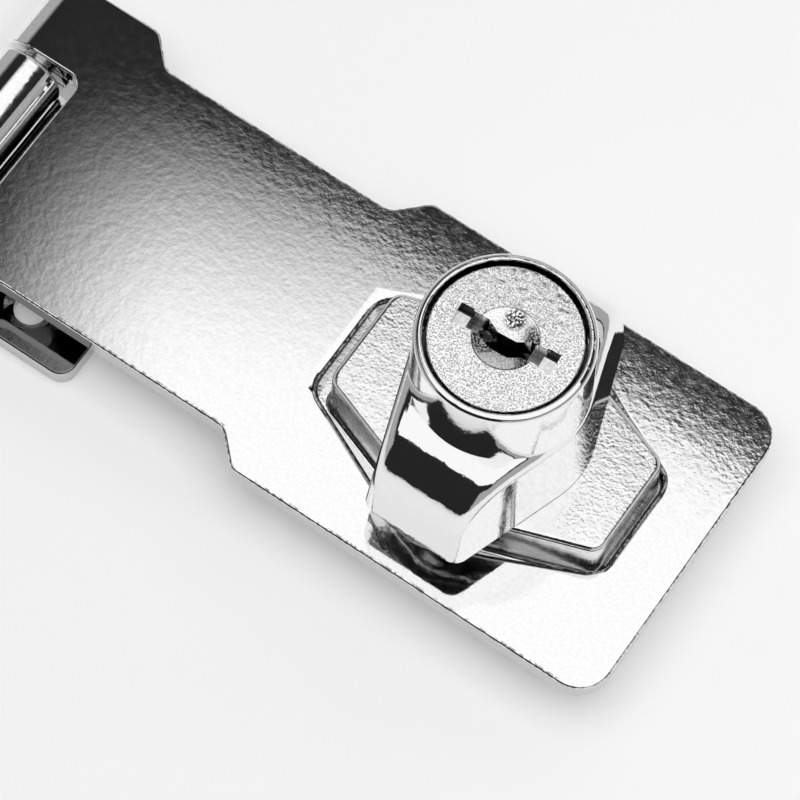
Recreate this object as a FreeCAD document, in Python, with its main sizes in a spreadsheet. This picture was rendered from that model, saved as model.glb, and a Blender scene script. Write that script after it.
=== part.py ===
import FreeCAD, Part
import math
import os
import Sketcher

# Keyed hasp lock: a slotted strap on a short hinge closes over a raised lock base,
# and a winged knob with a key plug in it turns across the slot to hold the strap down.
# Millimetres. Origin: the knob's axis on the mounting face. +X: the strap's free end. +Z: up.

SIZES = {
    # hinged strap, pressed from sheet
    "strap_thick": 1.8,
    "strap_side_land": 3.3,
    "strap_end_land": 5.45,
    "strap_waist": 2.68,
    "step_land": 1.45,
    "ear_length": 7.95,
    "strap_corner": 3.0,
    "step_round": 1.5,
    "sheet_edge": 0.22,
    # slot in the strap round the lock base
    "slot_shift": 0.45,
    "slot_end_room": 0.85,
    "slot_middle_room": 1.85,
    "slot_corner_room": 0.07,
    "slot_corner": 2.2,
    "slot_middle_round": 4.0,
    "slot_edge": 0.5,
    # hinge
    "hinge_reach": 53.15,
    "pin_bore": 1.5,
    "pin_play": 0.05,
    "pin_chamfer": 0.3,
    "curl_gap": 0.25,
    "hinge_slot_room": 2.0,
    "hinge_slot_half": 7.2,
    "hinge_slot_corner": 1.3,
    "knuckle_gap": 0.45,
    "knuckle_edge": 0.5,
    # fixed leaf
    "leaf_thick": 1.8,
    "leaf_length": 19.35,
    "leaf_inset": 0.5,
    "leaf_offset": 0.42,
    "leaf_corner": 1.5,
    "leaf_notch_gap": 0.4,
    "leaf_hole_end": 6.55,
    "leaf_hole_side": 4.0,
    "leaf_hole": 1.5,
    "leaf_countersink": 0.8,
    # lock base casting
    "base_end_land": 1.85,
    "base_side_land": 3.05,
    "base_corner": 2.0,
    "base_rim": 1.6,
    "base_hollow": 2.8,
    "hub_wall": 1.3,
    "boss_rise": 3.6,
    "boss_half_length": 13.65,
    "boss_middle_half": 9.85,
    "boss_end_half": 4.98,
    "boss_draft": 1.5,
    "boss_corner": 1.4,
    "boss_middle_round": 3.0,
    "boss_edge": 0.45,
    "boss_foot": 0.35,
    "base_hole": 1.6,
    "base_countersink": 1.0,
    "base_hole_inset": 3.5,
    "base_hole_wall": 1.8,
    # knob casting
    "knob_gap": 0.1,
    "knob_height": 16.8,
    "barrel_wall": 1.05,
    "barrel_draft": 1.2,
    "rim_edge": 0.45,
    "rim_lip": 0.15,
    "wing_rise": 9.5,
    "wing_overlap": 1.05,
    "wing_tip_half": 4.6,
    "wing_swell": 1.24,
    "wing_draft": 5.0,
    "wing_waist": 8.5,
    "wing_nose": 5.9,
    "wing_edge": 1.4,
    "shank": 4.95,
    "shank_play": 0.05,
    "shank_square": 5.8,
    "knob_sweep": 90.0,
    # key plug
    "plug": 4.5,
    "plug_play": 0.05,
    "plug_floor": 0.7,
    "face_flange": 1.9,
    "face_gap": 0.3,
    "face_thick": 1.55,
    "face_sunk": 0.35,
    "face_edge": 0.15,
    "keyway_turn": 4.5,
    "keyway_half_length": 3.35,
    "keyway_half_width": 0.8,
    "keyway_dip": 0.55,
    "keyway_flat": 0.9,
    "keyway_slant": 1.0,
    "keyway_floor": 2.7,
    "pocket_length": 1.2,
    "pocket_half_width": 0.95,
    "pocket_depth": 0.5,
    "pocket_shelf": 0.35,
    "pocket_deep": 1.3,
    "dish": 2.72,
    "dish_depth": 0.28,
    # wafers and their springs
    "wafer_thick": 1.0,
    "wafer_first": 3.0,
    "wafer_last": 0.3,
    "wafer_half_width": 2.3,
    "wafer_play": 0.1,
    "wafer_inset": 0.08,
    "wafer_travel": 0.5,
    "wafer_window_half": 2.3,
    "window_play": 0.1,
    "bitting_step": 0.15,
    "lug_near": 0.9,
    "lug_length": 0.8,
    "lug_rise": 0.9,
    "spring_start": 2.3,
    "coil": 0.36,
    "wire": 0.09,
    "coil_pitch": 1.3,
    # snap retainer of the plug
    "retainer_half_width": 1.4,
    "retainer_catch": 0.5,
    "retainer_back": 2.0,
    "retainer_spring_room": 1.1,
    "groove_room": 0.25,
    # locking bolt
    "bolt_thick": 2.2,
    "bolt_play": 0.1,
    "bolt_half_width": 2.5,
    "bolt_sunk": 0.15,
    "bolt_short": 1.05,
    "tail_length": 3.9,
    "tail_throw": 1.2,
    "tail_pin": 0.6,
    "tail_room": 0.55,
    "notch_room": 0.25,
    # stop washer, spring washer and screw under the base
    "recess_step": 1.0,
    "recess_depth": 2.6,
    "washer_play": 0.3,
    "washer_thick": 0.6,
    "washer_lift": 0.05,
    "tab_reach": 1.5,
    "tab_half_width": 1.5,
    "stop_play": 0.15,
    "spring_washer_thick": 0.6,
    "spring_washer_half": 3.3,
    "spring_washer_split": 0.5,
    "screw": 1.55,
    "screw_play": 0.05,
    "screw_length": 4.6,
    "screw_head": 3.0,
    "screw_head_thick": 1.1,
    "screw_head_edge": 0.35,
    "cross_half_length": 1.5,
    "cross_half_width": 0.3,
    "cross_depth": 0.6,
}
WAFER_BITTING = (1, -1, 0, 2, -2)
UP = FreeCAD.Vector(0, 0, 1)
TINY = 1e-4

doc = FreeCAD.newDocument("keyed_hasp_lock")
sheet = doc.addObject("Spreadsheet::Sheet", "sizes")


class Dim:
    """A size: its value now, and the sheet expression that keeps it up to date."""

    def __init__(self, value, text):
        self.value = value
        self.text = text

    def __add__(self, other):
        other = dim(other)
        return Dim(self.value + other.value, f"({self.text} + {other.text})")

    def __sub__(self, other):
        other = dim(other)
        return Dim(self.value - other.value, f"({self.text} - {other.text})")

    def __mul__(self, other):
        other = dim(other)
        return Dim(self.value * other.value, f"({self.text} * {other.text})")

    def __truediv__(self, other):
        other = dim(other)
        return Dim(self.value / other.value, f"({self.text} / {other.text})")

    def __radd__(self, other):
        return dim(other) + self

    def __rsub__(self, other):
        return dim(other) - self

    def __rmul__(self, other):
        return dim(other) * self

    def __neg__(self):
        return Dim(-self.value, f"(-{self.text})")


def dim(number):
    """A plain number as a size."""
    return number if isinstance(number, Dim) else Dim(float(number), repr(float(number)))


def fill_sheet():
    """Write the driving sizes to the sheet and return them by name."""
    found = {}
    for row, (name, number) in enumerate(SIZES.items(), start=1):
        sheet.set(f"A{row}", name)
        sheet.set(f"B{row}", str(number))
        sheet.setAlias(f"B{row}", name)
        found[name] = Dim(number, f"sizes.{name}")
    doc.recompute()
    return found


S = fill_sheet()

# Sizes that follow from others, so that what fits together stays together.
SLOT_LENGTH = S["boss_half_length"] + S["slot_end_room"]
SLOT_MIDDLE = S["boss_middle_half"] + S["slot_middle_room"]
SLOT_END = S["boss_end_half"] + S["slot_corner_room"]
STRAP_WIDE = SLOT_MIDDLE + S["strap_side_land"]
STRAP_NARROW = STRAP_WIDE - S["strap_waist"]
STRAP_REACH = SLOT_LENGTH - S["slot_shift"] + S["strap_end_land"]
FRONT_STEP = SLOT_LENGTH + S["slot_shift"] + S["step_land"]
REAR_STEP = S["hinge_reach"] - S["ear_length"]
CURL_REACH = S["hinge_reach"] - S["pin_bore"] - S["strap_thick"]
WINDOW_REACH = CURL_REACH - S["hinge_slot_room"]
LEAF_WIDE = STRAP_WIDE - S["leaf_inset"]
LEAF_NEAR = S["hinge_reach"] - S["leaf_length"]
BASE_LONG = S["boss_half_length"] + S["base_end_land"]
BASE_WIDE = S["boss_middle_half"] + S["base_side_land"]
RECESS = S["shank"] + S["shank_play"] + S["recess_step"]
FACE = S["plug"] + S["face_flange"]
BARREL_FOOT = FACE + S["face_gap"] + S["barrel_wall"]
WING_MIDDLE = BARREL_FOOT + S["wing_swell"]
BOLT_TIP = S["shank"] - S["bolt_sunk"]

# Heights that several pieces share.
STRAP_LOW = S["leaf_thick"] + 2 * S["pin_bore"]
STRAP_TOP = STRAP_LOW + S["strap_thick"]
PIN_LEVEL = S["leaf_thick"] + S["pin_bore"]
BOSS_TOP = STRAP_TOP + S["boss_rise"]
KNOB_LOW = BOSS_TOP + S["knob_gap"]
KNOB_TOP = KNOB_LOW + S["knob_height"]
FACE_TOP = KNOB_TOP - S["face_sunk"]
FACE_LOW = FACE_TOP - S["face_thick"]
FACE_SEAT = FACE_LOW - S["plug_play"]
PLUG_LOW = KNOB_LOW + S["plug_floor"]
PLUG_SEAT = PLUG_LOW - S["plug_play"]
BOLT_LOW = PLUG_LOW - S["tail_length"]
CHANNEL_LOW = BOLT_LOW - S["bolt_play"]
CHANNEL_TOP = BOLT_LOW + S["bolt_thick"] + S["bolt_play"]
WASHER_TOP = S["recess_depth"] - S["washer_lift"]
WASHER_LOW = WASHER_TOP - S["washer_thick"]
SCREW_SEAT = WASHER_LOW - S["spring_washer_thick"]
RETAINER_LEVEL = PLUG_LOW + S["wafer_first"] / 2
PLUG_BORE = S["plug"] + S["plug_play"]
KEYWAY_DEEP = S["keyway_half_width"] + S["keyway_dip"]
LUG_LOW = S["wafer_half_width"]
LUG_MIDDLE = LUG_LOW + S["lug_rise"] / 2
SLOT_GAP = S["wafer_play"] / 2
TAIL_SIDE = S["tail_throw"] * math.sqrt(0.5)
BOLT_TRAVEL = 2 * TAIL_SIDE


def bind(piece, **sizes):
    """Tie a piece's properties to the sheet."""
    for name, size in sizes.items():
        piece.setExpression(name.replace("__", "."), dim(size).text)


def new_body(name):
    made = doc.addObject("PartDesign::Body", name)
    made.Label = name
    return made


def sketch(body, name, role, height=None):
    """A sketch on one of the body's own origin planes, lifted along the plane's normal."""
    made = body.newObject("Sketcher::SketchObject", name)
    plane = [item for item in body.Origin.OriginFeatures if item.Role == role][0]
    made.AttachmentSupport = [(plane, "")]
    made.MapMode = "FlatFace"
    if height is not None:
        made.AttachmentOffset = FreeCAD.Placement(UP * height.value, FreeCAD.Rotation())
        made.setExpression("AttachmentOffset.Base.z", height.text)
    return made


def pin_point(made, shape, spot, x, y):
    """Hold one point of a sketch at x, y from the origin."""
    for kind, axis, size in (("DistanceX", -2, dim(x)), ("DistanceY", -1, dim(y))):
        if abs(size.value) < TINY:
            made.addConstraint(Sketcher.Constraint("PointOnObject", shape, spot, axis))
            continue
        number = made.addConstraint(Sketcher.Constraint(kind, -1, 1, shape, spot, size.value))
        made.setExpression(f"Constraints[{number}]", size.text)


def flat(x, y):
    return FreeCAD.Vector(dim(x).value, dim(y).value, 0)


def outline(made, points):
    """A closed run of straight sides through the given corners."""
    first = made.GeometryCount
    count = len(points)
    for index in range(count):
        ends = flat(*points[index]), flat(*points[(index + 1) % count])
        made.addGeometry(Part.LineSegment(*ends), False)
    for index, (x, y) in enumerate(points):
        following = first + (index + 1) % count
        made.addConstraint(Sketcher.Constraint("Coincident", first + index, 2, following, 1))
        pin_point(made, first + index, 1, x, y)


def ring(made, x, y, radius):
    """A circle."""
    radius = dim(radius)
    number = made.addGeometry(Part.Circle(flat(x, y), UP, radius.value), False)
    pin_point(made, number, 3, x, y)
    held = made.addConstraint(Sketcher.Constraint("Radius", number, radius.value))
    made.setExpression(f"Constraints[{held}]", radius.text)


def rectangle(x0, x1, y0, y1):
    return [(x0, y0), (x1, y0), (x1, y1), (x0, y1)]


def mirrored(points):
    """Corners on the +Y side, with their mirror images behind them."""
    return points + [(x, -y) for x, y in reversed(points)]


def hexagon(length, middle, end, shift=None):
    """A long six-sided outline with square-cut ends."""
    shift = dim(0 if shift is None else shift)
    half = [(shift + length, end), (shift, middle), (shift - length, end)]
    return mirrored(half)


def volume(body):
    return body.Shape.Volume if body.Shape and not body.Shape.isNull() else 0.0


def feature(body, kind, name, profile, sign, **sizes):
    """Add a sketched feature, and see that it adds or removes material as it should."""
    before = volume(body)
    made = body.newObject(f"PartDesign::{kind}", name)
    made.Profile = profile
    for key, size in sizes.items():
        if isinstance(size, (bool, str)):
            setattr(made, key, size)
        else:
            bind(made, **{key: size})
    doc.recompute()
    change = (volume(body) - before) * sign
    if change <= TINY:
        raise RuntimeError(f"{name} changed nothing: {change}")
    return made


def pad(body, name, profile, **sizes):
    return feature(body, "Pad", name, profile, 1, **sizes)


def pocket(body, name, profile, **sizes):
    return feature(body, "Pocket", name, profile, -1, **sizes)


def turned(body, kind, name, profile, sign):
    """A full turn of a profile about the upright axis of its sketch."""
    before = volume(body)
    made = body.newObject(f"PartDesign::{kind}", name)
    made.Profile = profile
    made.ReferenceAxis = (profile, ["V_Axis"])
    made.Angle = 360
    doc.recompute()
    if (volume(body) - before) * sign <= TINY:
        raise RuntimeError(f"{name} changed nothing")
    return made


def edges(body, choose):
    """Names of the body's edges that a rule picks."""
    names = [f"Edge{n}" for n, edge in enumerate(body.Shape.Edges, start=1) if choose(edge)]
    if not names:
        raise RuntimeError(f"no edge found on {body.Label}")
    return names


def dress(body, kind, name, size, choose):
    """Round or chamfer the edges that a rule picks."""
    base = body.Tip
    names = edges(body, choose)
    made = body.newObject(f"PartDesign::{kind}", name)
    made.Base = (base, names)
    bind(made, **{"Radius" if kind == "Fillet" else "Size": size})
    doc.recompute()
    return made


def near(first, second, margin=0.02):
    return abs(first - dim(second).value) < margin


def upright(edge, x=None, y=None, signed=False):
    """Whether an edge runs up, at the given distance from the axes."""
    if len(edge.Vertexes) != 2:
        return False
    low, high = (item.Point for item in edge.Vertexes)
    if abs(low.z - high.z) < 0.5 or abs(low.x - high.x) + abs(low.y - high.y) > 1.5:
        return False
    at = low if low.z < high.z else high
    across = at.x if signed else abs(at.x)
    return (x is None or near(across, x)) and (y is None or near(abs(at.y), y))


def level(edge, height):
    """Whether an edge lies flat at a height."""
    box = edge.BoundBox
    return near(box.ZMin, height) and near(box.ZMax, height)


def within(edge, x, y):
    """Whether an edge lies inside a rectangle round the axis."""
    box = edge.BoundBox
    return max(-box.XMin, box.XMax) < x.value + TINY and max(-box.YMin, box.YMax) < y.value + TINY


def hoop(edge, radius, y):
    """Whether an edge is an arc of the given radius round the hinge, at a distance along it."""
    if edge.Curve.TypeId != "Part::GeomCircle" or edge.BoundBox.YLength > TINY:
        return False
    return near(edge.Curve.Radius, radius) and near(abs(edge.BoundBox.YMax), y)


def set_place(piece, x=0, y=0, z=0):
    bind(piece, Placement__Base__x=x, Placement__Base__y=y, Placement__Base__z=z)


def block(name, x0, x1, y0, y1, z0, z1):
    """A plain box between six named levels."""
    made = doc.addObject("Part::Box", name)
    x0, x1, y0, y1, z0, z1 = (dim(size) for size in (x0, x1, y0, y1, z0, z1))
    bind(made, Length=x1 - x0, Width=y1 - y0, Height=z1 - z0)
    set_place(made, x0, y0, z0)
    return made


def rod(name, radius, z0, z1, x=0, y=0):
    """An upright cylinder."""
    made = doc.addObject("Part::Cylinder", name)
    bind(made, Radius=radius, Height=dim(z1) - z0)
    set_place(made, x, y, z0)
    return made


def join(name, pieces):
    made = doc.addObject("Part::MultiFuse", name)
    made.Shapes = pieces
    return made


def overlap(name, first, second):
    made = doc.addObject("Part::Common", name)
    made.Base = first
    made.Tool = second
    return made


def remove(name, base, tools):
    """A solid less one or more others."""
    made = doc.addObject("Part::Cut", name)
    made.Base = base
    made.Tool = tools[0] if len(tools) == 1 else join(f"{name}_tools", tools)
    made.Label = name
    return made


def turn_with_keyway(piece):
    """Turn a finished piece about the knob's axis to where the keyway stands."""
    axis = FreeCAD.Rotation(UP, SIZES["keyway_turn"])
    piece.Placement = FreeCAD.Placement(FreeCAD.Vector(), axis)
    piece.setExpression("Placement.Rotation.Angle", S["keyway_turn"].text)


def knuckle(body, thick, half_length, slit_low, slit_high):
    """Roll the sheet's end round the pin: a ring, its slit and its bore."""
    centre = -S["hinge_reach"], PIN_LEVEL
    outer = S["pin_bore"] + thick
    curl = sketch(body, "curl_outline", "XZ_Plane")
    ring(curl, *centre, outer)
    pad(body, "curl", curl, Length=2 * half_length, Midplane=True)
    slit = sketch(body, "slit_outline", "XZ_Plane")
    outline(slit, rectangle(centre[0], centre[0] + 2 * outer, slit_low, slit_high))
    pocket(body, "slit", slit, Type="ThroughAll", Midplane=True)
    bore = sketch(body, "bore_outline", "XZ_Plane")
    ring(bore, *centre, S["pin_bore"])
    pocket(body, "bore", bore, Type="ThroughAll", Midplane=True)


def hasp_strap():
    """The pressed strap: wide at both ends, slotted over the base, curled at the hinge."""
    body = new_body("hasp_strap")
    step_run = S["strap_waist"]
    narrow, wide = STRAP_NARROW, STRAP_WIDE
    front, rear = FRONT_STEP, REAR_STEP
    side = [
        (STRAP_REACH, wide),
        (-front, wide),
        (-(front + step_run), narrow),
        (-(rear - step_run), narrow),
        (-rear, wide),
        (-S["hinge_reach"], wide),
    ]
    plan = sketch(body, "strap_outline", "XY_Plane", STRAP_LOW)
    outline(plan, mirrored(side))
    pad(body, "strap_sheet", plan, Length=S["strap_thick"])
    corners = ((front, wide), (front + step_run, narrow), (rear - step_run, narrow), (rear, wide))
    dress(body, "Fillet", "step_rounding", S["step_round"],
          lambda edge: any(upright(edge, x, y) for x, y in corners))
    dress(body, "Fillet", "corner_rounding", S["strap_corner"],
          lambda edge: upright(edge, STRAP_REACH, wide, signed=True))
    slot = sketch(body, "slot_outline", "XY_Plane", STRAP_LOW)
    outline(slot, hexagon(SLOT_LENGTH, SLOT_MIDDLE, SLOT_END, -S["slot_shift"]))
    pocket(body, "slot", slot, Type="ThroughAll", Reversed=True)
    dress(body, "Fillet", "slot_ends", S["slot_corner"],
          lambda edge: upright(edge, None, SLOT_END))
    dress(body, "Fillet", "slot_middles", S["slot_middle_round"],
          lambda edge: upright(edge, S["slot_shift"], SLOT_MIDDLE))
    slot_reach = SLOT_LENGTH + S["slot_shift"]
    dress(body, "Fillet", "slot_edges", S["slot_edge"],
          lambda edge: level(edge, STRAP_TOP) and within(edge, slot_reach, SLOT_MIDDLE))
    thick = S["strap_thick"]
    knuckle(body, thick, wide, STRAP_LOW - S["curl_gap"], STRAP_LOW)
    gap = sketch(body, "hinge_slot_outline", "XY_Plane")
    beyond = S["hinge_reach"] + 2 * (S["pin_bore"] + thick)
    half = S["hinge_slot_half"]
    outline(gap, rectangle(-beyond, -WINDOW_REACH, -half, half))
    pocket(body, "hinge_slot", gap, Type="ThroughAll", Midplane=True)
    dress(body, "Fillet", "hinge_slot_corners", S["hinge_slot_corner"],
          lambda edge: upright(edge, WINDOW_REACH, half))
    dress(body, "Fillet", "sheet_edges", S["sheet_edge"],
          lambda edge: level(edge, STRAP_TOP) and edge.BoundBox.XMax > -SIZES["hinge_reach"] + TINY
          and not within(edge, slot_reach + S["slot_edge"], SLOT_MIDDLE + S["slot_edge"]))
    return body


def hinge_leaf():
    """The fixed leaf under the strap, with its middle knuckle and two screw holes."""
    body = new_body("hinge_leaf")
    knuckle_half = S["hinge_slot_half"] - S["knuckle_gap"]
    notch = CURL_REACH - S["leaf_notch_gap"]
    low, high = -(LEAF_WIDE + S["leaf_offset"]), LEAF_WIDE - S["leaf_offset"]
    plan = sketch(body, "leaf_outline", "XY_Plane")
    outline(plan, [
        (-LEAF_NEAR, high), (-notch, high), (-notch, knuckle_half),
        (-S["hinge_reach"], knuckle_half), (-S["hinge_reach"], -knuckle_half),
        (-notch, -knuckle_half), (-notch, low), (-LEAF_NEAR, low),
    ])
    pad(body, "leaf_sheet", plan, Length=S["leaf_thick"])
    dress(body, "Fillet", "leaf_corners", S["leaf_corner"],
          lambda edge: upright(edge, LEAF_NEAR))
    knuckle(body, S["leaf_thick"], knuckle_half, S["leaf_thick"], S["leaf_thick"] + S["curl_gap"])
    curl = S["pin_bore"] + S["leaf_thick"]
    dress(body, "Fillet", "knuckle_ends", S["knuckle_edge"],
          lambda edge: hoop(edge, curl, knuckle_half))
    holes = sketch(body, "leaf_hole_outline", "XY_Plane")
    for side_y in (low + S["leaf_hole_side"], high - S["leaf_hole_side"]):
        ring(holes, -(LEAF_NEAR + S["leaf_hole_end"]), side_y, S["leaf_hole"])
    pocket(body, "leaf_holes", holes, Type="ThroughAll", Reversed=True)
    dress(body, "Chamfer", "leaf_countersinks", S["leaf_countersink"],
          lambda edge: level(edge, S["leaf_thick"]) and len(edge.Vertexes) == 1)
    dress(body, "Fillet", "leaf_edges", S["sheet_edge"],
          lambda edge: level(edge, S["leaf_thick"]) and len(edge.Vertexes) == 2
          and edge.BoundBox.XMin > -notch.value - TINY)
    return body


def hinge_pin():
    """The plain pin through all three knuckles."""
    body = new_body("hinge_pin")
    end = sketch(body, "pin_outline", "XZ_Plane")
    ring(end, -S["hinge_reach"], PIN_LEVEL, S["pin_bore"] - S["pin_play"])
    pad(body, "pin", end, Length=2 * STRAP_WIDE, Midplane=True)
    dress(body, "Chamfer", "pin_ends", S["pin_chamfer"], lambda edge: len(edge.Vertexes) == 1
          and edge.Curve.TypeId == "Part::GeomCircle")
    return body


def lock_base():
    """The cast base: a hollow plate under the strap and a six-sided boss through its slot."""
    body = new_body("lock_base")
    length, width = BASE_LONG, BASE_WIDE
    plan = sketch(body, "plate_outline", "XY_Plane")
    outline(plan, rectangle(-length, length, -width, width))
    pad(body, "plate", plan, Length=STRAP_LOW)
    dress(body, "Fillet", "plate_corners", S["base_corner"],
          lambda edge: upright(edge, length, width))
    boss = sketch(body, "boss_outline", "XY_Plane", STRAP_LOW)
    outline(boss, hexagon(S["boss_half_length"], S["boss_middle_half"], S["boss_end_half"]))
    pad(body, "boss", boss, Length=BOSS_TOP - STRAP_LOW, TaperAngle=-S["boss_draft"])
    dress(body, "Fillet", "boss_ends", S["boss_corner"],
          lambda edge: upright(edge, S["boss_half_length"], S["boss_end_half"]))
    dress(body, "Fillet", "boss_middles", S["boss_middle_round"],
          lambda edge: upright(edge, 0, S["boss_middle_half"]))
    dress(body, "Fillet", "boss_rounding", S["boss_edge"], lambda edge: level(edge, BOSS_TOP))
    dress(body, "Fillet", "boss_foot_rounding", S["boss_foot"],
          lambda edge: level(edge, STRAP_LOW) and within(edge, S["boss_half_length"], S["boss_middle_half"]))
    hollow = sketch(body, "hollow_outline", "XY_Plane")
    rim = S["base_rim"]
    outline(hollow, rectangle(rim - length, length - rim, rim - width, width - rim))
    pocket(body, "hollow", hollow, Length=S["base_hollow"], Reversed=True)
    hole_x, hole_y = length - S["base_hole_inset"], width - S["base_hole_inset"]
    places = [(x, y) for x in (-hole_x, hole_x) for y in (-hole_y, hole_y)]
    hubs = sketch(body, "hub_outline", "XY_Plane")
    ring(hubs, 0, 0, RECESS + S["tab_reach"] + S["hub_wall"])
    for x, y in places:
        ring(hubs, x, y, S["base_hole"] + S["base_hole_wall"])
    pad(body, "hubs", hubs, Length=S["base_hollow"])
    bore = sketch(body, "shank_bore_outline", "XY_Plane")
    ring(bore, 0, 0, S["shank"] + S["shank_play"])
    pocket(body, "shank_bore", bore, Type="ThroughAll", Reversed=True)
    recess = sketch(body, "recess_outline", "XY_Plane")
    ring(recess, 0, 0, RECESS)
    pocket(body, "recess", recess, Length=S["recess_depth"], Reversed=True)
    notch = sketch(body, "notch_outline", "XY_Plane", CHANNEL_LOW)
    reach = BOLT_TIP + BOLT_TRAVEL + S["notch_room"]
    side = S["bolt_half_width"] + S["bolt_play"] * 2
    inside = S["shank"] / 2
    outline(notch, [
        (inside, -side), (reach, -side), (reach, side), (side, side),
        (side, reach), (-side, reach), (-side, inside), (inside, inside),
    ])
    pocket(body, "bolt_notches", notch, Type="ThroughAll", Reversed=True)
    screws = sketch(body, "screw_outline", "XY_Plane")
    for x, y in places:
        ring(screws, x, y, S["base_hole"])
    pocket(body, "screw_holes", screws, Type="ThroughAll", Reversed=True)
    dress(body, "Chamfer", "screw_countersinks", S["base_countersink"],
          lambda edge: level(edge, STRAP_LOW) and len(edge.Vertexes) == 1)
    return remove("lock_base", rename(body, "base_casting"), [stop_sweep()])


def rename(piece, name):
    piece.Label = name
    return piece


def stop_sweep():
    """The room in the base that the stop washer's tab swings in."""
    reach = RECESS + S["tab_reach"]
    ratio = (S["tab_half_width"] + S["stop_play"]) / RECESS
    spare = Dim(math.degrees(math.asin(ratio.value)), f"(asin({ratio.text}) / 1 deg)")
    made = rod("stop_sweep", reach, 0, S["recess_depth"])
    bind(made, Angle=S["knob_sweep"] + 2 * spare)
    made.Placement.Rotation = FreeCAD.Rotation(UP, -spare.value)
    made.setExpression("Placement.Rotation.Angle", (-spare).text)
    return made


def turn_knob():
    """The cast knob: two tapered wings, a barrel for the plug and a shank through the base."""
    body = new_body("knob_casting")
    wings = sketch(body, "wing_outline", "XY_Plane", KNOB_LOW)
    tip, middle = S["wing_tip_half"], WING_MIDDLE
    reach = SLOT_MIDDLE + S["wing_overlap"]
    outline(wings, [(tip, reach), (-tip, reach), (-middle, 0), (-tip, -reach), (tip, -reach),
                    (middle, 0)])
    pad(body, "wings", wings, Length=S["wing_rise"], TaperAngle=-S["wing_draft"])
    dress(body, "Fillet", "waist", S["wing_waist"], lambda edge: upright(edge, middle, 0))
    wing_top = KNOB_LOW + S["wing_rise"]
    dress(body, "Fillet", "noses", S["wing_nose"],
          lambda edge: level(edge, wing_top) and edge.BoundBox.YLength < TINY)
    dress(body, "Fillet", "wing_rounding", S["wing_edge"], lambda edge: upright(edge, tip, reach))
    barrel = sketch(body, "barrel_outline", "XY_Plane", KNOB_LOW)
    ring(barrel, 0, 0, BARREL_FOOT)
    pad(body, "barrel", barrel, Length=S["knob_height"], TaperAngle=-S["barrel_draft"])
    dress(body, "Fillet", "rim_rounding", S["rim_edge"], lambda edge: level(edge, KNOB_TOP))
    shank = sketch(body, "shank_outline", "XY_Plane", S["recess_depth"])
    ring(shank, 0, 0, S["shank"])
    pad(body, "shank", shank, Length=KNOB_LOW - S["recess_depth"])
    square = sketch(body, "square_outline", "XY_Plane", WASHER_LOW)
    half = S["shank_square"] / 2
    outline(square, rectangle(-half, half, -half, half))
    pad(body, "square", square, Length=S["recess_depth"] - WASHER_LOW)
    bores = sketch(body, "bore_profile", "XZ_Plane")
    groove_low = RETAINER_LEVEL - S["wafer_thick"] / 2 - S["wafer_play"]
    groove_top = RETAINER_LEVEL + S["wafer_thick"] / 2 + S["wafer_play"]
    groove = S["plug"] + S["retainer_catch"] + S["groove_room"]
    wide = FACE + S["face_gap"]
    above = KNOB_TOP + S["knob_gap"]
    tail_hole = S["tail_throw"] + S["tail_pin"] + S["tail_room"]
    outline(bores, [
        (0, CHANNEL_TOP - S["bolt_play"]), (tail_hole, CHANNEL_TOP - S["bolt_play"]),
        (tail_hole, PLUG_SEAT), (PLUG_BORE, PLUG_SEAT), (PLUG_BORE, groove_low),
        (groove, groove_low), (groove, groove_top), (PLUG_BORE, groove_top),
        (PLUG_BORE, FACE_SEAT), (wide, FACE_SEAT), (wide, above), (0, above),
    ])
    turned(body, "Groove", "bores", bores, -1)
    dress(body, "Fillet", "rim_lip_rounding", S["rim_lip"],
          lambda edge: level(edge, KNOB_TOP) and near(edge.BoundBox.XMax, wide))
    thread = sketch(body, "thread_outline", "XY_Plane", WASHER_LOW)
    ring(thread, 0, 0, S["screw"] + S["screw_play"])
    pocket(body, "thread", thread, Length=S["screw_length"] - S["spring_washer_thick"] + S["knob_gap"],
           Reversed=True)
    side = S["bolt_half_width"] + S["bolt_play"]
    across = S["shank"] * 2
    cuts = [block("bolt_channel", -across, across, -side, side, CHANNEL_LOW, CHANNEL_TOP)]
    reach = S["plug"] + S["wafer_travel"] + S["wafer_play"] * 2
    side = S["wafer_half_width"] + S["wafer_play"] * 2
    low = PLUG_LOW + S["wafer_first"]
    cross = join("wafer_grooves", [
        block("groove_along", -reach, reach, -side, side, low, FACE_LOW),
        block("groove_across", -side, side, -reach, reach, low, FACE_LOW),
    ])
    turn_with_keyway(cross)
    return remove("turn_knob", body, cuts + [cross])


def stop_washer():
    """The washer on the shank's square end, whose tab meets the base at each end of the turn."""
    disc = rod("washer_disc", RECESS - S["washer_play"], WASHER_LOW, WASHER_TOP)
    wide = S["tab_half_width"]
    reach = RECESS + S["tab_reach"] - S["washer_play"]
    tab = block("washer_tab", 0, reach, -wide, wide, WASHER_LOW, WASHER_TOP)
    half = S["shank_square"] / 2 + S["shank_play"]
    hole = block("washer_square", -half, half, -half, half, WASHER_LOW, WASHER_TOP)
    return remove("stop_washer", join("washer_blank", [disc, tab]), [hole])


def spring_washer():
    """A split spring washer, drawn pressed flat."""
    disc = rod("split_ring", S["spring_washer_half"], SCREW_SEAT, WASHER_LOW)
    hole = rod("split_ring_hole", S["screw"] + 2 * S["bolt_play"], SCREW_SEAT, WASHER_LOW)
    half = S["spring_washer_split"] / 2
    split = block("split", 0, S["spring_washer_half"] * 2, -half, half, SCREW_SEAT, WASHER_LOW)
    return remove("spring_washer", disc, [hole, split])


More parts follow.
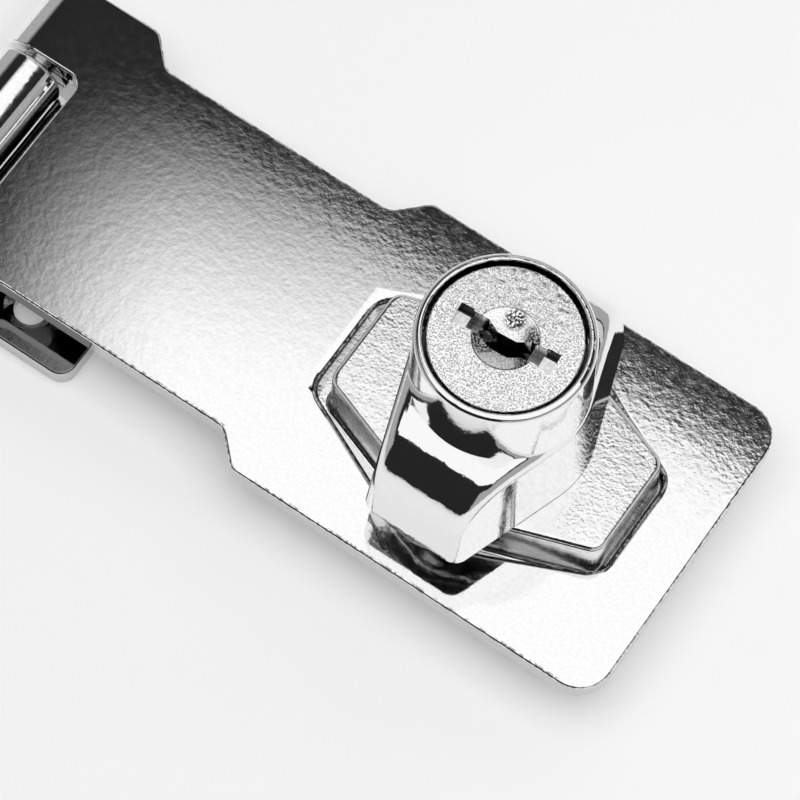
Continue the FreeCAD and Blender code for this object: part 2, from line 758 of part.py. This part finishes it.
def shank_screw():
    """The screw up the shank, with its cross recess."""
    body = new_body("screw_turned")
    head = sketch(body, "head_outline", "XY_Plane", SCREW_SEAT)
    ring(head, 0, 0, S["screw_head"])
    pad(body, "head", head, Length=S["screw_head_thick"], Reversed=True)
    low = SCREW_SEAT - S["screw_head_thick"]
    dress(body, "Chamfer", "head_edge", S["screw_head_edge"], lambda edge: level(edge, low))
    stem = sketch(body, "stem_outline", "XY_Plane", SCREW_SEAT)
    ring(stem, 0, 0, S["screw"])
    pad(body, "stem", stem, Length=S["screw_length"])
    long, thin = S["cross_half_length"], S["cross_half_width"]
    deep = low + S["cross_depth"]
    cross = [
        block("cross_along", -long, long, -thin, thin, low, deep),
        block("cross_across", -thin, thin, -long, long, low, deep),
    ]
    return remove("shank_screw", body, cross)


def wafer_levels():
    """The middle height of each wafer, spread over the room between the retainer and the face."""
    low = PLUG_LOW + S["wafer_first"]
    pitch = (FACE_LOW - S["wafer_last"] - low) / len(WAFER_BITTING)
    return [low + (index + 0.5) * pitch for index in range(len(WAFER_BITTING))]


def keyway():
    """The key's crooked slot, cut down through the plug."""
    body = new_body("keyway_cut")
    plan = sketch(body, "keyway_outline", "XY_Plane", FACE_TOP)
    long, wide = S["keyway_half_length"], S["keyway_half_width"]
    dip, near_x = S["keyway_dip"], S["keyway_flat"]
    far_x = S["keyway_flat"] + S["keyway_slant"]
    upper = [(-long, wide), (-far_x, wide), (-near_x, wide - dip), (near_x, wide - dip),
             (far_x, wide), (long, wide)]
    lower = [(long, -wide), (far_x, -wide), (near_x, -(wide + dip)), (-near_x, -(wide + dip)),
             (-far_x, -wide), (-long, -wide)]
    outline(plan, upper + lower)
    pad(body, "keyway", plan, Length=FACE_TOP - PLUG_LOW - S["keyway_floor"], Reversed=True)
    return body


def plug_cuts():
    """All that is cut from the plug: keyway, its end pockets and dish, and the wafer slots."""
    cuts = [keyway()]
    long = S["keyway_half_length"]
    low = FACE_TOP - S["pocket_depth"]
    side = S["pocket_half_width"]
    for name, x0, x1 in (("left", -(long + S["pocket_length"]), -long),
                         ("right", long, long + S["pocket_length"])):
        cuts.append(block(f"{name}_pocket", x0, x1, -side, side, low, FACE_TOP))
        cuts.append(block(f"{name}_well", x0, x1, S["pocket_shelf"], side,
                          FACE_TOP - S["pocket_deep"], FACE_TOP))
    ball = doc.addObject("Part::Sphere", "dish_ball")
    rise = S["dish_depth"]
    radius = (S["dish"] * S["dish"] + rise * rise) / (2 * rise)
    bind(ball, Radius=radius)
    set_place(ball, z=FACE_TOP + radius - rise)
    cuts.append(ball)
    half = S["wafer_half_width"] + SLOT_GAP
    thick = S["wafer_thick"] / 2 + SLOT_GAP
    through = S["plug"] * 2
    for number, middle in enumerate(wafer_levels(), start=1):
        z0, z1 = middle - thick, middle + thick
        cuts.append(block(f"slot_{number}", -through, through, -half, half, z0, z1))
        cuts.append(block(f"spring_room_{number}", -S["spring_start"], through, 0,
                          LUG_LOW + S["lug_rise"] + SLOT_GAP, z0, z1))
    side = S["retainer_half_width"] + SLOT_GAP
    back = S["retainer_back"] + S["retainer_spring_room"]
    z0, z1 = RETAINER_LEVEL - thick, RETAINER_LEVEL + thick
    cuts.append(block("retainer_slot", -back, through, -side, side, z0, z1))
    return cuts


def key_plug():
    """The turned plug: textured face, barrel and the off-centre pin on its tail."""
    body = new_body("plug_turned")
    profile = sketch(body, "plug_profile", "XZ_Plane")
    outline(profile, [(0, PLUG_LOW), (S["plug"], PLUG_LOW), (S["plug"], FACE_LOW),
                      (FACE, FACE_LOW), (FACE, FACE_TOP), (0, FACE_TOP)])
    turned(body, "Revolution", "plug_turning", profile, 1)
    dress(body, "Fillet", "face_rounding", S["face_edge"], lambda edge: level(edge, FACE_TOP))
    cut = remove("plug_barrel", body, plug_cuts())
    turn_with_keyway(cut)
    tail = rod("tail_pin", S["tail_pin"], BOLT_LOW, PLUG_LOW, -TAIL_SIDE, -TAIL_SIDE)
    return rename(join("key_plug", [cut, tail]), "key_plug")


def wafer(number, middle, code):
    """One wafer: round ends to the plug's curve, a window for the key and a lug for its spring."""
    z0, z1 = middle - S["wafer_thick"] / 2, middle + S["wafer_thick"] / 2
    radius = S["plug"] - S["wafer_inset"]
    wide = S["wafer_half_width"]
    disc = rod(f"wafer_disc_{number}", radius, z0, z1)
    strip = block(f"wafer_strip_{number}", -S["plug"], S["plug"], -wide, wide, z0, z1)
    plate = overlap(f"wafer_plate_{number}", disc, strip)
    far = S["lug_near"] + S["lug_length"]
    lug = block(f"wafer_lug_{number}", S["lug_near"], far, 0, LUG_LOW + S["lug_rise"], z0, z1)
    shift = S["bitting_step"] * code
    half = S["wafer_window_half"]
    top = S["keyway_half_width"] + S["window_play"]
    low = -(KEYWAY_DEEP + S["window_play"])
    window = block(f"wafer_window_{number}", shift - half, shift + half, low, top, z0, z1)
    made = remove(f"wafer_{number}", join(f"wafer_blank_{number}", [plate, lug]), [window])
    turn_with_keyway(made)
    return made


def coil(name, length, start, across, height):
    """A small square-wire coil spring lying along the wafers' travel."""
    wire = S["wire"]
    helix = doc.addObject("Part::Helix", f"{name}_path")
    bind(helix, Radius=S["coil"], Pitch=S["coil_pitch"], Height=length - 2 * wire)
    section = doc.addObject("Part::RegularPolygon", f"{name}_wire")
    section.Polygon = 4
    bind(section, Circumradius=wire)
    section.Placement = FreeCAD.Placement(FreeCAD.Vector(SIZES["coil"], 0, 0),
                                          FreeCAD.Rotation(FreeCAD.Vector(1, 0, 0), 90))
    section.setExpression("Placement.Base.x", S["coil"].text)
    made = doc.addObject("Part::Sweep", name)
    made.Sections = [section]
    made.Spine = (helix, ["Edge1"])
    made.Solid = True
    made.Frenet = True
    laid = FreeCAD.Rotation(FreeCAD.Vector(0, 1, 0), 90)
    place = FreeCAD.Vector(dim(start).value + wire.value, dim(across).value, dim(height).value)
    turn = FreeCAD.Placement(FreeCAD.Vector(), FreeCAD.Rotation(UP, SIZES["keyway_turn"]))
    made.Placement = turn.multiply(FreeCAD.Placement(place, laid))
    made.Label = name
    return made


def wafer_set():
    """The five wafers with their springs, and the snap retainer with its own."""
    made = []
    rest = S["lug_near"] + S["spring_start"]
    for number, (middle, code) in enumerate(zip(wafer_levels(), WAFER_BITTING), start=1):
        made.append(wafer(number, middle, code))
        made.append(coil(f"wafer_spring_{number}", rest, -S["spring_start"], LUG_MIDDLE, middle))
    return made


def retainer():
    """The spring catch that holds the plug in the knob."""
    z0 = RETAINER_LEVEL - S["wafer_thick"] / 2
    z1 = RETAINER_LEVEL + S["wafer_thick"] / 2
    side = S["retainer_half_width"]
    disc = rod("retainer_disc", S["plug"] + S["retainer_catch"], z0, z1)
    strip = block("retainer_strip", -S["retainer_back"], S["plug"] * 2, -side, side, z0, z1)
    catch = overlap("retainer_wafer", disc, strip)
    turn_with_keyway(catch)
    start = -(S["retainer_back"] + S["retainer_spring_room"])
    spring = coil("retainer_spring", S["retainer_spring_room"], start, 0, RETAINER_LEVEL)
    return [catch, spring]


def lock_bolt():
    """The bolt across the shank that the plug's tail pin drives into the base."""
    z0, z1 = BOLT_LOW, BOLT_LOW + S["bolt_thick"]
    side = S["bolt_half_width"]
    disc = rod("bolt_disc", BOLT_TIP, z0, z1)
    strip = block("bolt_strip", S["bolt_short"] - S["shank"], BOLT_TIP, -side, side, z0, z1)
    blank = overlap("bolt_blank", disc, strip)
    room = S["tail_pin"] + S["bolt_play"]
    slot = block("bolt_slot", -(TAIL_SIDE + room), room - TAIL_SIDE, -(S["tail_throw"] + room),
                 room - TAIL_SIDE, z0, z1)
    return remove("lock_bolt", blank, [slot])


def check(piece):
    shape = piece.Shape
    if shape.isNull() or not shape.isValid() or not shape.Solids:
        raise RuntimeError(f"{piece.Label} has no sound solid")


def main():
    nodes = [hasp_strap(), hinge_leaf(), hinge_pin(), lock_base(), turn_knob(), stop_washer(),
             spring_washer(), shank_screw(), key_plug(), lock_bolt()]
    nodes += retainer() + wafer_set()
    doc.recompute()
    failed = [item.Label for item in doc.Objects if {"Invalid", "Error"} & set(item.State)]
    if failed:
        raise RuntimeError(f"failed: {failed}")
    os.makedirs("parts", exist_ok=True)
    for piece in nodes:
        check(piece)
        piece.Shape.exportStep(f"parts/{piece.Label}.step")
        print(piece.Label, round(piece.Shape.Volume, 3), len(piece.Shape.Solids))


main()
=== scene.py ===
import bpy
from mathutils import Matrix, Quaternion

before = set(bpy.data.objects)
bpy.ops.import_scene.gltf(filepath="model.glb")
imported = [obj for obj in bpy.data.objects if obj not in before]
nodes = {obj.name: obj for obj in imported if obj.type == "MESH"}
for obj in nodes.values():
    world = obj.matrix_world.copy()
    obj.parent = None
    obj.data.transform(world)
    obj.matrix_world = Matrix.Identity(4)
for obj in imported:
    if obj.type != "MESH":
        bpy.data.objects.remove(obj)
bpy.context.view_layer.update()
MM = 0.001

# Sizes and places that the materials repeat from the CAD source, in millimetres.
STRAP_WIDE = 15.0               # half widths of the wide ends and of the narrow part
STRAP_NARROW = 12.32
FRONT_STEP_X = -16.5            # middle of the slanted step to the wide free end
REAR_STEP_X = -42.0             # the narrow part's end at the hinge side
KNUCKLE_X = -48.0               # the sheet starts to curl here
SLOT_END_X = -14.95             # the slot's edge on the hinge side
SLOT_SLANT_AT = (-0.45, 11.7)   # a point on the slanted edge next to it, and that edge's normal
SLOT_SLANT_NORMAL = (-0.417, 0.909)
LEAF_TOP_Z = 1.8
COUNTERBORE_RADIUS = 6.7        # around the plug's head
PLUG_HEAD_RADIUS = 6.4
DISH_RADIUS = 2.72
KEYWAY_TOP_Z = 26.4             # the keyway's walls are below this, the face and its dish above

# Camera at the photograph's viewpoint, a long lens from above the lock's near side.
CAMERA_LENS = 192.12
CAMERA_SENSOR = 36
CAMERA_TURN = (0.934556, 0.196748, 0.047788, 0.292594)
CAMERA_PLACE = (0.064899, -0.123484, 0.335422)

# Studio, in metres. A strength of 1 is white.
FLOOR_HALF = 3
FLOOR_COLOR = (0.86, 0.86, 0.86)
FLOOR_OWN_LIGHT = 0.22
SOFT_BOX_X = (-0.4, 0.7)
SOFT_BOX_Y = (-0.5, 1.1)
SOFT_BOX_Z = 0.5066
SOFT_BOX_LIGHT = 1.05
SOFT_BOX_DARK = 0.02
SECOND_BOX_SHARE = 0.6          # of the first box's light
FLOOR_SHARE = 3.0               # of the light that metal mirrors
ROOM_DARK = 0.02
ROOM_PALE = 0.40


def add_camera():
    data = bpy.data.cameras.new("camera")
    data.sensor_width = CAMERA_SENSOR
    data.lens = CAMERA_LENS
    data.clip_start, data.clip_end = 0.05, 20
    camera = bpy.data.objects.new("camera", data)
    camera.rotation_mode = "QUATERNION"
    camera.rotation_quaternion = Quaternion(CAMERA_TURN)
    camera.location = CAMERA_PLACE
    bpy.context.scene.collection.objects.link(camera)
    bpy.context.scene.camera = camera
    bpy.context.scene.view_settings.view_transform = "Standard"


class Nodes:
    """Short calls for building a node tree, a material's or the world's."""

    def __init__(self, tree):
        self.tree = tree

    def add(self, kind, **settings):
        node = self.tree.nodes.new(kind)
        for key, value in settings.items():
            setattr(node, key, value)
        return node

    def link(self, output, node, name):
        self.tree.links.new(output, node.inputs[name])

    def coordinate(self, kind):
        return self.add("ShaderNodeTexCoord").outputs[kind]

    def ray(self, kind):
        """1 for a ray of this kind, 0 for any other."""
        return self.add("ShaderNodeLightPath").outputs[kind]

    def split(self, vector):
        """A vector's three parts."""
        made = self.add("ShaderNodeSeparateXYZ")
        self.link(vector, made, "Vector")
        return made.outputs

    def along(self, vector, direction):
        made = self.add("ShaderNodeVectorMath", operation="DOT_PRODUCT")
        self.link(vector, made, 0)
        made.inputs[1].default_value = direction
        return made.outputs["Value"]

    def math(self, operation, *values):
        made = self.add("ShaderNodeMath", operation=operation)
        for index, value in enumerate(values):
            if isinstance(value, (int, float)):
                made.inputs[index].default_value = value
            else:
                self.link(value, made, index)
        return made.outputs[0]

    def chain(self, operation, values):
        made, *others = values
        for value in others:
            made = self.math(operation, made, value)
        return made

    def times(self, *values):
        return self.chain("MULTIPLY", values)

    def plus(self, *values):
        return self.chain("ADD", values)

    def largest(self, *values):
        return self.chain("MAXIMUM", values)

    def minus(self, first, second):
        return self.math("SUBTRACT", first, second)

    def absolute(self, value):
        return self.math("ABSOLUTE", value)

    def radius(self, x, y):
        return self.math("SQRT", self.plus(self.times(x, x), self.times(y, y)))

    def ramp(self, value, over, to=(0, 1), smooth=False):
        """value's run over a range, fitted to another range and clamped to it."""
        made = self.add("ShaderNodeMapRange")
        if smooth:
            made.interpolation_type = "SMOOTHSTEP"
        self.link(value, made, "Value")
        for name, number in zip(("From Min", "From Max", "To Min", "To Max"), (*over, *to)):
            made.inputs[name].default_value = number
        return made.outputs["Result"]

    def mix(self, share, first, second):
        """first where share is 0, second where it is 1."""
        return self.plus(self.times(self.minus(1.0, share), first), self.times(share, second))


class Material(Nodes):
    """A material's node tree. Its places and sizes are in millimetres."""

    def __init__(self, name):
        self.material = bpy.data.materials.new(name)
        self.material.use_nodes = True
        super().__init__(self.material.node_tree)
        self.tree.nodes.clear()
        self.out = self.add("ShaderNodeOutputMaterial")

    def place(self):
        """The surface point in the part's own frame."""
        scaled = self.add("ShaderNodeVectorMath", operation="SCALE")
        self.link(self.coordinate("Object"), scaled, 0)
        scaled.inputs["Scale"].default_value = 1 / MM
        return scaled.outputs[0]

    def upward(self):
        """1 where the surface faces up, 0 where it stands upright."""
        return self.split(self.coordinate("Normal"))[2]

    def stretch(self, where, scale):
        """where with each axis scaled, so that noise in it is longer where the scale is small."""
        made = self.add("ShaderNodeMapping")
        self.link(where, made, "Vector")
        made.inputs["Scale"].default_value = scale
        return made.outputs[0]

    def noise(self, where, size, detail=2.0, roughness=0.5):
        """Noise whose features are about size across."""
        made = self.add("ShaderNodeTexNoise")
        self.link(where, made, "Vector")
        made.inputs["Scale"].default_value = 1 / size
        made.inputs["Detail"].default_value = detail
        made.inputs["Roughness"].default_value = roughness
        return made.outputs["Fac"]

    def patches(self, where, size, to, over=(0.3, 0.7), detail=2.0, roughness=0.5):
        """Noise with its middle range fitted to the range to."""
        return self.ramp(self.noise(where, size, detail, roughness), over, to)

    def bump(self, height, depth, under=None):
        """A bump whose full height is depth, on top of the one under it."""
        made = self.add("ShaderNodeBump")
        made.inputs["Distance"].default_value = depth * MM
        self.link(height, made, "Height")
        if under is not None:
            self.link(under, made, "Normal")
        return made.outputs["Normal"]

    def metal(self, color, roughness, normal, rough_map, color_map=None):
        """Metal shading. The maps stand over the plain color and roughness."""
        shader = self.add("ShaderNodeBsdfPrincipled")
        shader.inputs["Metallic"].default_value = 1
        shader.inputs["Base Color"].default_value = (*color, 1)
        shader.inputs["Roughness"].default_value = roughness
        self.link(rough_map, shader, "Roughness")
        if color_map is not None:
            self.link(color_map, shader, "Base Color")
        self.link(normal, shader, "Normal")
        self.link(shader.outputs[0], self.out, "Surface")
        return self.material


def sheet_chrome():
    """Chrome plate on pressed sheet: orange peel, drawn down beside the slot, with worn edges and
    painted shade.
    """
    m = Material("sheet_chrome")
    where = m.place()
    x, y, z = m.split(where)
    upward = m.upward()
    flat_part = m.ramp(x, over=(KNUCKLE_X, KNUCKLE_X + 2))

    # The orange peel fades towards the hinge.
    peel = m.times(m.noise(where, 0.38), m.ramp(x, over=(KNUCKLE_X, -12), to=(0.45, 1)))
    normal = m.bump(m.noise(where, 1.1, detail=1.0), depth=0.003)
    normal = m.bump(peel, depth=0.0036, under=normal)

    # How far a point lies outside the slot, at the slot's hinge side.
    (slant_x, slant_y), (lean_x, lean_y) = SLOT_SLANT_AT, SLOT_SLANT_NORMAL
    past_slant = m.plus(m.times(m.plus(x, -slant_x), lean_x),
                        m.times(m.minus(m.absolute(y), slant_y), lean_y))
    away = m.largest(m.minus(SLOT_END_X, x), past_slant)

    # The sheet is drawn down there, over a wider strip on the far side.
    strip = m.ramp(y, over=(-5.5, -3.5), to=(0.35, 0.95))
    uneven = m.plus(away, m.patches(where, 1.4, over=(0, 1), to=(-0.05, 0.05), detail=1.0))
    drawn = m.ramp(m.math("DIVIDE", uneven, strip), over=(0, 1), smooth=True)
    hinge_side = m.times(m.ramp(x, over=(-2, -5)), strip)
    normal = m.bump(m.times(m.minus(drawn, 1.0), hinge_side), depth=0.055, under=normal)

    # Shares of the colour taken out: painted shade on cut walls and on the leaf under the strap,
    # wear on worn edges and the strap's rubbed long edges, painted shade along the slot's near
    # edge.
    wall_shade = m.times(m.ramp(upward, over=(0.35, 0.15), to=(0, 0.38)), flat_part)
    worn = m.times(m.ramp(upward, over=(0.97, 0.90)), m.ramp(upward, over=(0.30, 0.50)),
                   flat_part, m.patches(where, 0.35, over=(0.46, 0.58), to=(0, 0.85)))
    # Painted shade on the leaf's top under the strap.
    leaf_shade = m.times(m.ramp(z, over=(LEAF_TOP_Z + 0.5, LEAF_TOP_Z + 0.2), to=(0, 0.75)),
                   m.ramp(x, over=(KNUCKLE_X - 3, KNUCKLE_X)), m.ramp(upward, over=(0.2, 0.5)))
    half_width = m.ramp(x, over=(FRONT_STEP_X - 1, FRONT_STEP_X + 1),
                        to=(STRAP_NARROW, STRAP_WIDE))
    from_step = m.absolute(m.plus(x, -FRONT_STEP_X))
    rubbed = m.times(m.ramp(m.minus(half_width, m.absolute(y)), over=(0.34, 0.2)),
                     m.patches(where, 0.4, over=(0.48, 0.60), to=(0, 0.7)),
                     m.ramp(upward, over=(0.6, 0.85)),
                     m.ramp(x, over=(REAR_STEP_X, REAR_STEP_X + 1)),
                     m.ramp(from_step, over=(2.2, 2.8)))
    # Painted shade: a ragged dark line along the slot's near edge.
    ragged = m.plus(away, m.patches(where, 0.5, to=(-0.12, 0.2)))
    slot_edge_shade = m.times(m.ramp(ragged, over=(0.26, 0.16), to=(0, 0.85)),
                   m.ramp(x, over=(0, -2)), m.ramp(y, over=(-4, -5.2)))
    wear_and_shade = m.largest(wall_shade, worn, leaf_shade, rubbed, slot_edge_shade)

    plate = m.patches(where, 0.33, to=(0.90, 0.97), roughness=0.6)
    rough = m.patches(where, 0.8, to=(0.04, 0.08))
    return m.metal((0.92, 0.92, 0.922), 0.12, normal, rough, m.times(plate, m.minus(1.0, wear_and_shade)))


def boss_chrome():
    """Chrome plate on the base casting: a sandy orange peel on top, satin walls in layers."""
    m = Material("boss_chrome")
    where = m.place()
    wall = m.ramp(m.upward(), over=(0.55, 0.35))
    top = m.minus(1.0, wall)
    normal = m.bump(m.times(m.noise(where, 0.8, detail=1.0), top), depth=0.010)
    grain = m.noise(where, 0.3, roughness=0.55)
    normal = m.bump(m.times(grain, top), depth=0.014, under=normal)
    layers = m.noise(m.stretch(where, (0.25, 0.25, 3)), 0.8)
    normal = m.bump(m.times(layers, wall), depth=0.01, under=normal)
    rough = m.mix(wall, m.patches(where, 1.0, to=(0.07, 0.12)),
                  m.patches(where, 0.5, to=(0.14, 0.22)))
    color = m.times(m.patches(where, 0.4, to=(0.88, 0.97)),
                    m.ramp(wall, over=(0, 1), to=(1, 0.86)))
    return m.metal((0.9, 0.9, 0.902), 0.16, normal, rough, color)


def knob_chrome():
    """Bright chrome plate on the smooth knob casting, faintly wavy, with painted shade in the
    counterbore.
    """
    m = Material("knob_chrome")
    where = m.place()
    x, y, z = m.split(where)
    normal = m.bump(m.noise(where, 2.2, detail=1.5), depth=0.012)
    normal = m.bump(m.noise(where, 0.35), depth=0.006, under=normal)
    rough = m.patches(where, 1.2, over=(0.35, 0.7), to=(0.03, 0.07))
    # Painted shade: the colour falls nearly to black within the counterbore's radius, high on the
    # knob.
    lip = m.plus(m.radius(x, y), m.patches(where, 0.5, over=(0, 1), to=(-0.1, 0.1)))
    outside = m.ramp(lip, over=(COUNTERBORE_RADIUS - 0.02, COUNTERBORE_RADIUS + 0.04),
                     to=(0.03, 1))
    clear_of_bore_shade = m.largest(outside, m.ramp(z, over=(25, 24)))
    color = m.times(m.patches(where, 0.5, to=(0.88, 0.90), detail=3.0), clear_of_bore_shade)
    return m.metal((0.88, 0.88, 0.885), 0.05, normal, rough, color)


def plug_face():
    """The key plug: a sandy plated face with a worn dish, and bright walls in the keyway."""
    m = Material("plug_face")
    where = m.place()
    x, y, z = m.split(where)
    radius = m.radius(x, y)
    face = m.ramp(z, over=(KEYWAY_TOP_Z - 0.04, KEYWAY_TOP_Z + 0.04))
    sandy = m.ramp(radius, over=(DISH_RADIUS - 0.12, DISH_RADIUS + 0.08), to=(0.35, 1))
    grain = m.times(m.patches(where, 0.16, over=(0.32, 0.47), to=(0, 1), roughness=0.55), sandy)
    normal = m.bump(m.times(m.noise(where, 0.7, detail=1.0), face), depth=0.01)
    normal = m.bump(m.times(grain, face), depth=0.018, under=normal)
    rough = m.mix(face, m.patches(where, 0.4, to=(0.10, 0.2)),
                  m.ramp(grain, over=(0, 1), to=(0.12, 0.05)))

    # The colour darkens with painted shade down the keyway and at the head's rim, around the dish,
    # in a speckled patch of painted shade in the dish, and in the sand's specks.
    plate = m.patches(where, 0.3, to=(0.9, 0.98))
    # Painted shade: darker down the keyway and at the head's rim.
    depth = m.ramp(z, over=(KEYWAY_TOP_Z - 0.8, KEYWAY_TOP_Z - 0.1), to=(0.06, 1))
    rim_shade = m.ramp(radius, over=(PLUG_HEAD_RADIUS - 0.04, PLUG_HEAD_RADIUS), to=(1, 0.06))
    from_ring = m.absolute(m.minus(radius, DISH_RADIUS + 0.02))
    ring = m.ramp(from_ring, over=(0.03, 0.08), to=(0.45, 1))
    # Painted shade: a speckled dark patch in the dish.
    shade_x, shade_y = -0.3, 1.85
    from_shade_squared = m.plus(m.math("POWER", m.plus(x, -shade_x), 2.0),
                               m.math("POWER", m.minus(y, shade_y), 2.0))
    dish_shade = m.times(m.ramp(from_shade_squared, over=(0.4, 1.2), to=(1, 0)),
                   m.patches(where, 0.2, over=(0.42, 0.5), to=(0, 0.95)))
    specks = m.patches(where, 0.13, over=(0.30, 0.38), to=(0.35, 1), detail=1.0)
    specks = m.mix(m.times(face, sandy), 1.0, specks)
    color = m.times(plate, depth, rim_shade, ring, m.minus(1.0, dish_shade), specks)
    return m.metal((0.92, 0.92, 0.92), 0.15, normal, rough, color)


def bright_steel():
    """Drawn or stamped bright steel with fine marks."""
    m = Material("bright_steel")
    marks = m.noise(m.stretch(m.place(), (1, 6, 6)), 1.2, detail=3.0)
    rough = m.ramp(marks, over=(0.3, 0.7), to=(0.16, 0.34))
    return m.metal((0.66, 0.66, 0.67), 0.25, m.bump(marks, depth=0.01), rough)


def wafer_metal():
    """Stamped nickel-plated wafers with fine rolling lines."""
    m = Material("wafer_metal")
    lines = m.noise(m.place(), 0.2, detail=3.0)
    rough = m.ramp(lines, over=(0.3, 0.7), to=(0.14, 0.28))
    return m.metal((0.8, 0.8, 0.79), 0.2, m.bump(lines, depth=0.006), rough)


def dress():
    wafers = range(1, 6)
    looks = {
        sheet_chrome(): ("hasp_strap", "hinge_leaf"),
        boss_chrome(): ("lock_base",),
        knob_chrome(): ("turn_knob",),
        plug_face(): ("key_plug",),
        bright_steel(): ("hinge_pin", "stop_washer", "spring_washer", "shank_screw", "lock_bolt",
                         "retainer_spring", *(f"wafer_spring_{n}" for n in wafers)),
        wafer_metal(): ("retainer_wafer", *(f"wafer_{n}" for n in wafers)),
    }
    for look, names in looks.items():
        for name in names:
            mesh = nodes[name].data
            mesh.materials.clear()
            mesh.materials.append(look)


# Studio: a pale floor under one large soft box, in a dark room with pale low walls.
def card(name, across, deep, z, material):
    """A level card with its corners in the world's frame, which is so its object space too."""
    (x0, x1), (y0, y1) = across, deep
    mesh = bpy.data.meshes.new(name)
    mesh.from_pydata([(x0, y0, z), (x1, y0, z), (x1, y1, z), (x0, y1, z)], [], [(0, 1, 2, 3)])
    mesh.materials.append(material)
    made = bpy.data.objects.new(name, mesh)
    bpy.context.scene.collection.objects.link(made)
    return made


def soft_box_light():
    """The soft box's face, sharp along its far side and falling away towards the hinge, with a
    second box beyond it. The floor gets more of its light than metal mirrors."""
    m = Material("soft_box")
    where = m.coordinate("Object")
    right, back = (1, 0, 0), (0, 1, 0)
    strap_right, strap_back = (0.932, 0.362, 0), (-0.362, 0.932, 0)

    def box(*edges):
        """Full light inside the edges. Each edge is a direction, the place along it where the
        light begins to fall, and the place where it is gone."""
        level = 1.0
        for direction, full, gone in edges:
            to = (1, 0) if full < gone else (0, 1)
            over = sorted((full, gone))
            level = m.times(m.ramp(m.along(where, direction), over, to, smooth=True), level)
        return level

    hinge_edge = (strap_right, -0.095, -0.148)
    near_edge = (back, -0.283, -0.291)
    right_edge = (right, 0.45, 0.58)
    main = box(hinge_edge, (strap_back, 0.211, 0.281), (back, 0.2095, 0.2160),
               near_edge, right_edge)
    near = box((right, -0.27, -0.33), (back, 0.01, 0.08), near_edge, right_edge)
    beyond = box(hinge_edge, (back, 0.34, 0.29), (back, 0.85, 1.0), (strap_back, 0.40, 0.36))

    level = m.times(m.plus(m.largest(main, near), m.times(beyond, SECOND_BOX_SHARE)),
                    SOFT_BOX_LIGHT)
    share = m.plus(m.times(m.ray("Is Diffuse Ray"), FLOOR_SHARE - 1), 1.0)
    light = m.add("ShaderNodeEmission")
    m.link(m.times(m.largest(level, SOFT_BOX_DARK), share), light, "Strength")
    m.link(light.outputs[0], m.out, "Surface")
    return m.material


def floor_material():
    """Pale paper: diffuse for the shadow, with a share of its own light so that it stays white."""
    m = Material("floor_paper")
    matte = m.add("ShaderNodeBsdfDiffuse")
    matte.inputs["Color"].default_value = (*FLOOR_COLOR, 1)
    m.link(m.bump(m.noise(m.place(), 3.0), depth=0.02), matte, "Normal")
    glow = m.add("ShaderNodeEmission")
    seen = m.largest(*(m.ray(f"Is {kind} Ray") for kind in ("Camera", "Glossy", "Transmission")))
    m.link(m.times(seen, FLOOR_OWN_LIGHT), glow, "Strength")
    both = m.add("ShaderNodeAddShader")
    m.link(matte.outputs[0], both, 0)
    m.link(glow.outputs[0], both, 1)
    m.link(both.outputs[0], m.out, "Surface")
    return m.material


def light_room(world):
    """A dark room whose walls are pale low down, but for the side behind the camera."""
    m = Nodes(world.node_tree)
    background = m.tree.nodes["Background"]
    background.inputs["Color"].default_value = (1, 1, 1, 1)
    x, y, z = m.split(m.coordinate("Generated"))   # the direction looked in
    low_down = m.ramp(z, over=(0.52, 0.70), to=(ROOM_PALE, ROOM_DARK), smooth=True)
    beside = m.ramp(m.math("DIVIDE", y, m.radius(x, y)), over=(-0.87, -0.80), smooth=True)
    m.link(m.largest(m.times(low_down, beside), ROOM_DARK), background, "Strength")


def add_studio():
    world = bpy.data.worlds.new("world")
    bpy.context.scene.world = world
    world.use_nodes = True
    light_room(world)
    floor = (-FLOOR_HALF, FLOOR_HALF)
    card("floor", floor, floor, 0, floor_material())
    soft_box = card("soft_box", SOFT_BOX_X, SOFT_BOX_Y, SOFT_BOX_Z, soft_box_light())
    soft_box.visible_camera = False


add_camera()
dress()
add_studio()
